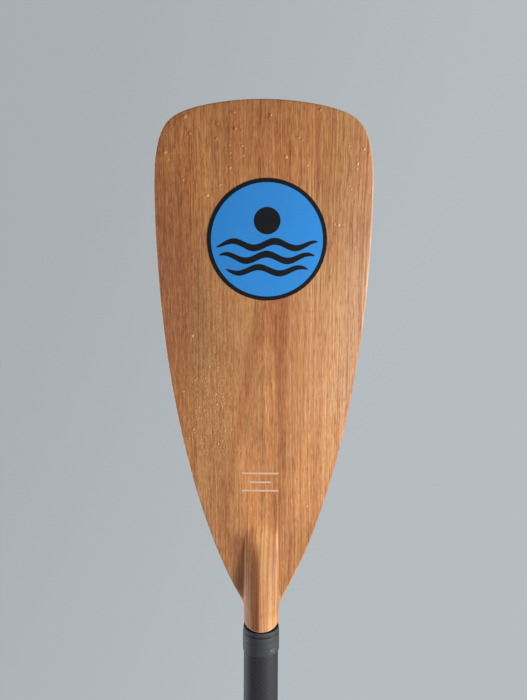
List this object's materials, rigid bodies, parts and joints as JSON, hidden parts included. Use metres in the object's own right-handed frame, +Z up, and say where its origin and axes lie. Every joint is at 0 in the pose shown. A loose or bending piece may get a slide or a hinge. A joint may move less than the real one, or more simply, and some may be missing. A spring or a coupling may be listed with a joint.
{
  "type": "stand-up paddleboard paddle",
  "caption": "Adjustable paddle with a leaned wood-veneer blade, round neck and collar, carbon shaft that telescopes and unplugs, lever clamp and T-grip.",
  "frame": {"origin": "on the shaft's axis at the crown of the T-grip, the lowest point of the upright paddle", "axes": "+Z up along the shaft towards the blade's tip, -Y out of the blade's front face, X along the blade's width"},
  "size_m": [0.1724, 0.0782, 1.6347],
  "materials": {
    "wood_veneer": "clear-coated veneer, satin gloss",
    "collar_plastic": "satin black",
    "carbon": "matt carbon laminate",
    "foam": "closed-cell foam",
    "seal_rubber": "matt black",
    "ferrule_carbon": "sanded carbon",
    "plug_plastic": "moulded nylon",
    "steel": "stainless, satin",
    "spring_steel": "stainless strip",
    "clamp_plastic": "glass-filled nylon",
    "anodised_alloy": "black anodised",
    "brass": "satin",
    "lever_plastic": "glass-filled nylon",
    "tube_alloy": "dark anodised, satin",
    "bush_plastic": "acetal",
    "grip_plastic": "moulded nylon",
    "pad_rubber": "soft-touch rubber",
    "rivet_alloy": "bare aluminium"
  },
  "bodies": {
    "handle_section": {"grip_core": "grip_plastic", "grip_pad": "pad_rubber", "grip_rivet_front": "rivet_alloy", "grip_rivet_back": "rivet_alloy", "upper_tube": "tube_alloy", "upper_foam_plug": "foam", "end_bush": "bush_plastic"},
    "middle_section": {"middle_tube": "carbon", "guide_liner": "plug_plastic", "clamp_collar": "clamp_plastic", "clamp_bolt": "steel", "adjust_nut": "anodised_alloy", "cam_plate": "brass", "lever_pin": "steel"},
    "clamp_lever": {"clamp_lever": "lever_plastic"},
    "blade_section": {"blade": "wood_veneer", "shaft_collar": "collar_plastic", "lower_tube": "carbon", "lower_foam_plug": "foam", "seam_ring": "seal_rubber", "joint_ferrule": "ferrule_carbon", "ferrule_plug": "plug_plastic", "snap_clip": "spring_steel"},
    "snap_button": {"snap_button": "steel"}
  },
  "joints": [
    {"name": "length_slide", "type": "slide", "parent": "handle_section", "child": "middle_section", "axis": [0, 0, 1], "range_m": [0, 0.44]},
    {"name": "lever_hinge", "type": "hinge", "parent": "middle_section", "child": "clamp_lever", "pos_m": [0.0245, -0.0142, 0.1816], "axis": [0, 0, 1], "range_deg": [0, 130]},
    {"name": "blade_pull", "type": "slide", "parent": "middle_section", "child": "blade_section", "axis": [0, 0, 1], "range_m": [0, 0.11], "deforming": ["snap_clip", "snap_button"]},
    {"name": "button_press", "type": "slide", "parent": "blade_section", "child": "snap_button", "axis": [0, 1, 0], "range_m": [0, 0.0042], "stiffness_N_per_m": 1200, "springref_m": -0.002, "deforming": ["snap_clip"]}
  ]
}
